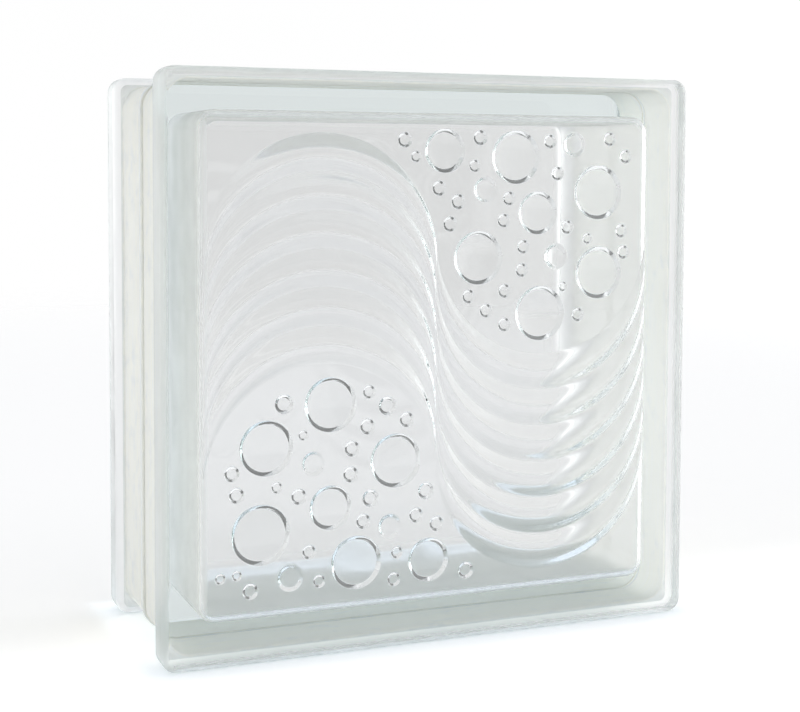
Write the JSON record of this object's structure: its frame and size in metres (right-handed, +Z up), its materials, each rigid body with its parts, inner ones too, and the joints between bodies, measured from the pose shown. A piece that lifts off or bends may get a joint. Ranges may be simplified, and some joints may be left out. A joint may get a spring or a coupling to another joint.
{
  "type": "glass block",
  "caption": "Square hollow block of clear pressed glass with rimmed faces, a mortar channel round its edges, and waves and bubbles pressed inside.",
  "frame": {"origin": "on the floor, under the middle of the block, level with the lowest edges of its two flanges", "axes": "+X along the width, +Y from the front face, which has the relief behind it, to the back face, +Z up"},
  "size_m": [0.19, 0.08, 0.19],
  "materials": {
    "clear_glass": "clear fire-polished pressed glass with a faint grey-green tint",
    "edge_coating": "thin cream-white key coating on the mortar edges"
  },
  "bodies": {
    "root": {"front_half": "clear_glass", "back_half": "clear_glass"}
  },
  "joints": []
}
